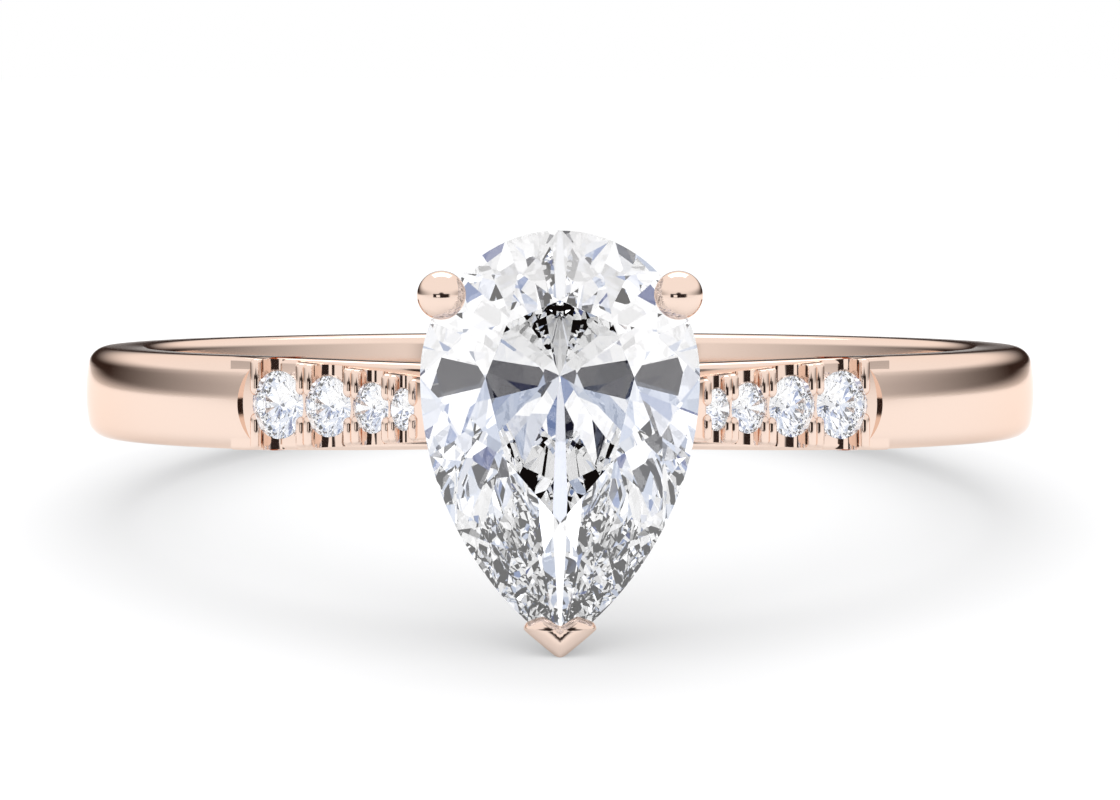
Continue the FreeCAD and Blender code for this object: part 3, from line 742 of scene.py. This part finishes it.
def cut_facet(bm, first, second, apex):
    """Grind one flat facet through three points and drop what lies outside it."""
    normal = (second - first).cross(apex - first).normalized()
    outside = Vector((first.x + second.x, first.y + second.y, 0))
    if normal.dot(outside) < 0:
        normal.negate()
    parts = list(bm.verts) + list(bm.edges) + list(bm.faces)
    made = bmesh.ops.bisect_plane(bm, geom=parts, dist=1e-6, plane_co=first, plane_no=normal,
                                  clear_outer=True)
    rim = [part for part in made["geom_cut"] if isinstance(part, bmesh.types.BMEdge)]
    if rim:
        bmesh.ops.contextual_create(bm, geom=rim)


def brilliant(outline, girdle, crown, pavilion, table, count=96):
    """A brilliant cut over an outline, its girdle's base at height 0 and its culet below."""
    bm = bmesh.new()
    bmesh.ops.create_circle(bm, cap_ends=True, segments=count, radius=1)
    bm.verts.ensure_lookup_table()
    for number, v in enumerate(bm.verts):
        v.co = outline(-90 + 360 * number / count) - UP * pavilion * 1.02
    bm.faces.ensure_lookup_table()
    extend(bm, bm.faces[0], Matrix.Translation(UP * (pavilion * 1.02 + girdle + crown)))
    bmesh.ops.recalc_face_normals(bm, faces=bm.faces)
    hand = random.Random(11)
    rise = crown / (1 - table)

    def apex(height, spread):
        return UP * height * (1 + spread * (hand.random() - 0.5))

    for number in range(8):
        here = -90 + 45 * number
        step = outline(here + 1.0) - outline(here - 1.0)
        rim = outline(here)
        cut_facet(bm, rim + UP * girdle, rim + step + UP * girdle, apex(girdle + rise, 0.01))
        cut_facet(bm, rim, rim + step, apex(-pavilion, 0.006))
        between = here + 22.5
        step = outline(between + 1.0) - outline(between - 1.0)
        cut_facet(bm, outline(between), outline(between) + step, apex(-1.012 * pavilion, 0.006))
    for number in range(16):
        here = -90 + 22.5 * number
        first, second = outline(here), outline(here + 22.5)
        cut_facet(bm, first + UP * girdle, second + UP * girdle, apex(girdle + 1.22 * rise, 0.02))
    for number in range(32):
        here = -90 + 11.25 * number
        cut_facet(bm, outline(here), outline(here + 11.25), apex(-1.045 * pavilion, 0.012))
    for number in range(8):
        here = -90 + 22.5 + 45 * number
        level = UP * (girdle + crown)
        first, second = outline(here - 22.5) * table + level, outline(here + 22.5) * table + level
        cut_facet(bm, first, second, UP * (girdle + 1.69 * crown))
    return bm


class RING_OT_pear_stone(bpy.types.Operator):
    """Cuts the pear-shaped centre stone"""
    bl_idname = "ring.pear_stone"
    bl_label = "Pear stone"

    def execute(self, context):
        stone, level = sizes("stone"), heights()
        bm = brilliant(pear_point, stone.girdle, stone.crown, stone.pavilion, stone.table)
        bmesh.ops.transform(bm, matrix=head_frame() @ Matrix.Translation(UP * level.girdle), verts=bm.verts)
        add_piece(bm, "pear_stone", diamond(), "diamond", ["centre_stone"])
        return {"FINISHED"}


class RING_OT_accent_stones(bpy.types.Operator):
    """Cuts the four round accent stones of each shoulder"""
    bl_idname = "ring.accent_stones"
    bl_label = "Accent stones"

    def execute(self, context):
        for name, side in (("right", 1), ("left", -1)):
            for number, (diameter, travel) in enumerate(accents(), start=1):
                def ring(degrees, radius=diameter / 2):
                    angle = math.radians(degrees)
                    return Vector((radius * math.cos(angle), radius * math.sin(angle), 0))
                bm = brilliant(ring, ACCENT_GIRDLE * diameter, ACCENT_CROWN * diameter,
                               ACCENT_PAVILION * diameter, ACCENT_TABLE, count=64)
                seated = face_frame(travel, height=-ACCENT_GIRDLE * diameter)
                bmesh.ops.transform(bm, matrix=seated, verts=bm.verts)
                bmesh.ops.scale(bm, vec=(side, 1, 1), verts=bm.verts)
                add_piece(bm, f"accent_{name}_{number}", diamond(), "diamond",
                          [f"accent_stone_{name}_{number}"])
        return {"FINISHED"}


# ---------------------------------------------------------------- the studio

def add_floor(tint):
    """A plain pale floor that falls away in front, past the V claw's tip, and is level behind.

    It glows a little, so that the ring's shadow on it stays light."""
    bm = bmesh.new()
    side, front, fold, back = 3000.0, -900.0, 12.0, 2500.0
    claw_y, claw_z, slope, level = -12.3, -4.9, 0.174, -0.45
    line = [(front, claw_z + slope * (front - claw_y)), (fold, level), (back, level)]
    verts = [bm.verts.new((-side, y, z)) for y, z in line]
    edges = [bm.edges.new(pair) for pair in zip(verts, verts[1:])]
    made = bmesh.ops.extrude_edge_only(bm, edges=edges)["geom"]
    far = [v for v in made if isinstance(v, bmesh.types.BMVert)]
    bmesh.ops.translate(bm, vec=(2 * side, 0, 0), verts=far)
    crease = [e for e in bm.edges if len(e.link_faces) == 2]
    bmesh.ops.bevel(bm, geom=crease, offset=6.0, offset_type="OFFSET", affect="EDGES", segments=12,
                    profile=0.5, material=-1)
    mesh = finish_mesh(bm, "floor", sharp=60)
    floor = bpy.data.objects.new("floor", mesh)
    bpy.context.scene.collection.objects.link(floor)
    material, tree, shader = new_material("studio floor")
    shader.inputs["Base Color"].default_value = (*[0.6 * tone for tone in tint], 1.0)
    shader.inputs["Roughness"].default_value = 0.9
    shader.inputs["Specular IOR Level"].default_value = 0.0
    shader.inputs["Emission Color"].default_value = (*tint, 1.0)
    shader.inputs["Emission Strength"].default_value = 0.42
    mesh.materials.append(material)


def band_mask(tree, value, low, rise, fall, high):
    """A node value that is 1 between two levels and eases to 0 outside them."""
    nodes, links = tree.nodes, tree.links
    up = nodes.new("ShaderNodeMapRange")
    up.interpolation_type = "SMOOTHSTEP"
    up.inputs["From Min"].default_value, up.inputs["From Max"].default_value = low, rise
    down = nodes.new("ShaderNodeMapRange")
    down.interpolation_type = "SMOOTHSTEP"
    down.inputs["From Min"].default_value, down.inputs["From Max"].default_value = fall, high
    down.inputs["To Min"].default_value, down.inputs["To Max"].default_value = 1.0, 0.0
    both = nodes.new("ShaderNodeMath")
    both.operation = "MULTIPLY"
    links.new(value, up.inputs["Value"])
    links.new(value, down.inputs["Value"])
    links.new(up.outputs["Result"], both.inputs[0])
    links.new(down.outputs["Result"], both.inputs[1])
    return both.outputs[0]


def blend(tree, factor, below, above):
    """A mix of two colours by a node value; each colour is a socket or a plain colour."""
    mix = tree.nodes.new("ShaderNodeMix")
    mix.data_type = "RGBA"
    tree.links.new(factor, mix.inputs["Factor"])
    for name, tone in (("A", below), ("B", above)):
        if isinstance(tone, tuple):
            mix.inputs[name].default_value = (*tone, 1.0)
        else:
            tree.links.new(tone, mix.inputs[name])
    return mix.outputs["Result"]


def times(tree, first, second):
    """The product of a node value and another, or a number."""
    node = tree.nodes.new("ShaderNodeMath")
    node.operation = "MULTIPLY"
    tree.links.new(first, node.inputs[0])
    if isinstance(second, float):
        node.inputs[1].default_value = second
    else:
        tree.links.new(second, node.inputs[1])
    return node.outputs[0]


# Patches of the studio round the ring. Each has, for one or more directions, the levels at
# which it begins, is full, begins to fade and is gone.
IN_FRONT = (-2.0, -1.9)
LOW_SCREEN = {"Z": (-0.03, 0.05, 0.10, 0.42)}
CAMERA_CARD = {"Y": (*IN_FRONT, -0.985, -0.95)}
FRONT_CARD = {"Z": (-0.36, -0.24, 0.10, 0.16), "X": (-0.66, -0.60, 0.52, 0.72),
              "Y": (*IN_FRONT, -0.62, -0.50)}
FRONT_WINDOW = {"Z": (-0.16, -0.13, 0.03, 0.06), "X": (-0.42, -0.38, -0.14, -0.10),
                "Y": (*IN_FRONT, -0.7, -0.6)}
NEAR_SKY = {"Y": (*IN_FRONT, -0.97, -0.90)}
VIEWER_SKY = {"Y": (*IN_FRONT, -0.9985, -0.996)}
SIDE_SKY = {"Z": (-0.20, -0.16, 0.02, 0.05), "Y": (-0.80, -0.76, -0.50, -0.46)}

# What the metal mirrors: soft light, a warm dark screen, a dark card and its bright window.
SOFT_LIGHT, WARM_SCREEN = (1.05, 1.03, 1.02), (0.035, 0.022, 0.018)
DARK_CARD, BRIGHT_WINDOW = (0.03, 0.022, 0.02), (1.1, 1.09, 1.08)

# What the stones refract: cells from navy to white, a pale blue patch in front and two dark ones.
SKY_CELLS = 8.0
SKY_TONES = ((0.0, (0.004, 0.006, 0.02)), (0.15, (0.02, 0.05, 0.24)), (0.21, (0.22, 0.30, 0.54)),
             (0.31, (0.55, 0.62, 0.78)), (0.48, (0.84, 0.87, 0.96)), (0.72, (1.32, 1.32, 1.34)))
NEAR_TONE, NEAR_STRENGTH = (0.62, 0.68, 0.80), 0.7
VIEWER_TONE, SIDE_TONE = (0.006, 0.008, 0.02), (0.01, 0.012, 0.035)


def patch(tree, directions, masks):
    """A node value for one patch of the studio: the product of its masks."""
    value = None
    for direction, levels in masks.items():
        mask = band_mask(tree, directions[direction], *levels)
        value = mask if value is None else times(tree, value, mask)
    return value


def sky(tree, place, directions):
    """The patterned sky that the stones refract."""
    nodes, links = tree.nodes, tree.links
    cells = nodes.new("ShaderNodeTexVoronoi")
    cells.inputs["Scale"].default_value = SKY_CELLS
    links.new(place, cells.inputs["Vector"])
    pick = nodes.new("ShaderNodeSeparateColor")
    links.new(cells.outputs["Color"], pick.inputs["Color"])
    ramp = nodes.new("ShaderNodeValToRGB")
    ramp.color_ramp.interpolation = "CONSTANT"
    while len(ramp.color_ramp.elements) < len(SKY_TONES):
        ramp.color_ramp.elements.new(1.0)
    for element, (position, tone) in zip(ramp.color_ramp.elements, SKY_TONES):
        element.position, element.color = position, (*tone, 1.0)
    links.new(pick.outputs["Red"], ramp.inputs["Fac"])
    near = times(tree, patch(tree, directions, NEAR_SKY), NEAR_STRENGTH)
    fire = blend(tree, near, ramp.outputs["Color"], NEAR_TONE)
    fire = blend(tree, patch(tree, directions, VIEWER_SKY), fire, VIEWER_TONE)
    return blend(tree, patch(tree, directions, SIDE_SKY), fire, SIDE_TONE)


def add_studio(ambient):
    """Soft light all round for the metal, with dark screens, and a patterned sky for the stones."""
    world = bpy.data.worlds.new("studio")
    bpy.context.scene.world = world
    world.use_nodes = True
    tree = world.node_tree
    tree.nodes.clear()
    nodes, links = tree.nodes, tree.links
    place = nodes.new("ShaderNodeTexCoord")
    apart = nodes.new("ShaderNodeSeparateXYZ")
    links.new(place.outputs["Generated"], apart.inputs["Vector"])
    directions = apart.outputs
    light_path = nodes.new("ShaderNodeLightPath")

    behind = nodes.new("ShaderNodeMapRange")
    behind.inputs["From Min"].default_value, behind.inputs["From Max"].default_value = -0.75, 0.8
    behind.inputs["To Min"].default_value, behind.inputs["To Max"].default_value = 0.12, 1.0
    links.new(directions["Y"], behind.inputs["Value"])
    screen = times(tree, patch(tree, directions, LOW_SCREEN), behind.outputs["Result"])
    around = blend(tree, screen, SOFT_LIGHT, WARM_SCREEN)
    for masks, tone in ((CAMERA_CARD, DARK_CARD), (FRONT_CARD, DARK_CARD), (FRONT_WINDOW, BRIGHT_WINDOW)):
        around = blend(tree, patch(tree, directions, masks), around, tone)

    fire = sky(tree, place.outputs["Generated"], directions)
    seen = blend(tree, light_path.outputs["Is Transmission Ray"], around, fire)
    seen = blend(tree, light_path.outputs["Is Diffuse Ray"], seen, (ambient, ambient, ambient))
    seen = blend(tree, light_path.outputs["Is Camera Ray"], seen, (1.0, 1.0, 1.0))
    background = nodes.new("ShaderNodeBackground")
    links.new(seen, background.inputs["Color"])
    output = nodes.new("ShaderNodeOutputWorld")
    links.new(background.outputs["Background"], output.inputs["Surface"])


class RING_OT_stage(bpy.types.Operator):
    """Sets the floor, the studio light and the camera"""
    bl_idname = "ring.stage"
    bl_label = "Studio"

    def execute(self, context):
        stage = sizes("stage")
        add_floor(context.scene.ring_settings.finish.floor)
        add_studio(stage.ambient)
        softbox = bpy.data.lights.new("softbox", "AREA")
        softbox.shape, softbox.energy = "RECTANGLE", 0.05
        softbox.size, softbox.size_y = 0.11, 0.08
        lamp = bpy.data.objects.new("softbox", softbox)
        context.scene.collection.objects.link(lamp)
        lamp.location = Vector((0.0, 0.055, 0.12))
        lamp.rotation_mode = "QUATERNION"
        lamp.rotation_quaternion = (-lamp.location).to_track_quat("-Z", "Y")
        camera = bpy.data.objects.new("camera", bpy.data.cameras.new("camera"))
        context.scene.collection.objects.link(camera)
        camera.data.lens = bpy.context.scene.ring_settings.stage.lens
        camera.data.sensor_width = 36.0
        camera.data.clip_start, camera.data.clip_end = 0.001, 20.0
        aim = Vector((0, 0, stage.aim)) * MM
        back = Vector((0, -math.cos(stage.elevation), math.sin(stage.elevation)))
        camera.location = aim + back * stage.distance * MM
        camera.rotation_mode = "QUATERNION"
        camera.rotation_quaternion = (-back).to_track_quat("-Z", "Y")
        context.scene.camera = camera
        context.scene.view_settings.view_transform = "Standard"
        light_paths = context.scene.cycles
        light_paths.caustics_reflective = light_paths.caustics_refractive = False
        light_paths.max_bounces, light_paths.glossy_bounces = 18, 12
        light_paths.transmission_bounces = 12
        return {"FINISHED"}


class RING_PT_panel(bpy.types.Panel):
    """The ring's pieces, its studio and its sizes"""
    bl_idname = "RING_PT_panel"
    bl_label = "Engagement Ring"
    bl_space_type = "VIEW_3D"
    bl_region_type = "UI"
    bl_category = "Ring"

    def draw(self, context):
        for step in STEPS:
            self.layout.operator(step.bl_idname)
        settings = context.scene.ring_settings
        for name in ("band", "shoulder", "stone", "head", "finish", "stage"):
            group = getattr(settings, name)
            box = self.layout.box()
            box.label(text=name.capitalize())
            for prop in group.__annotations__:
                box.prop(group, prop)


STEPS = (RING_OT_band, RING_OT_shoulders, RING_OT_accent_claws, RING_OT_basket, RING_OT_round_claws,
         RING_OT_point_claw, RING_OT_pear_stone, RING_OT_accent_stones, RING_OT_stage)
CLASSES = (RingBandSizes, RingShoulderSizes, RingStoneSizes, RingHeadSizes, RingFinishes, RingStageSizes,
           RingSettings, *STEPS, RING_PT_panel)


def register():
    for cls in CLASSES:
        bpy.utils.register_class(cls)
    bpy.types.Scene.ring_settings = PointerProperty(type=RingSettings)


def unregister():
    del bpy.types.Scene.ring_settings
    for cls in reversed(CLASSES):
        bpy.utils.unregister_class(cls)


def main():
    register()
    bpy.ops.ring.band()
    bpy.ops.ring.shoulders()
    bpy.ops.ring.accent_claws()
    bpy.ops.ring.basket()
    bpy.ops.ring.round_claws()
    bpy.ops.ring.point_claw()
    bpy.ops.ring.pear_stone()
    bpy.ops.ring.accent_stones()
    bpy.ops.ring.stage()


if __name__ == "__main__":
    main()
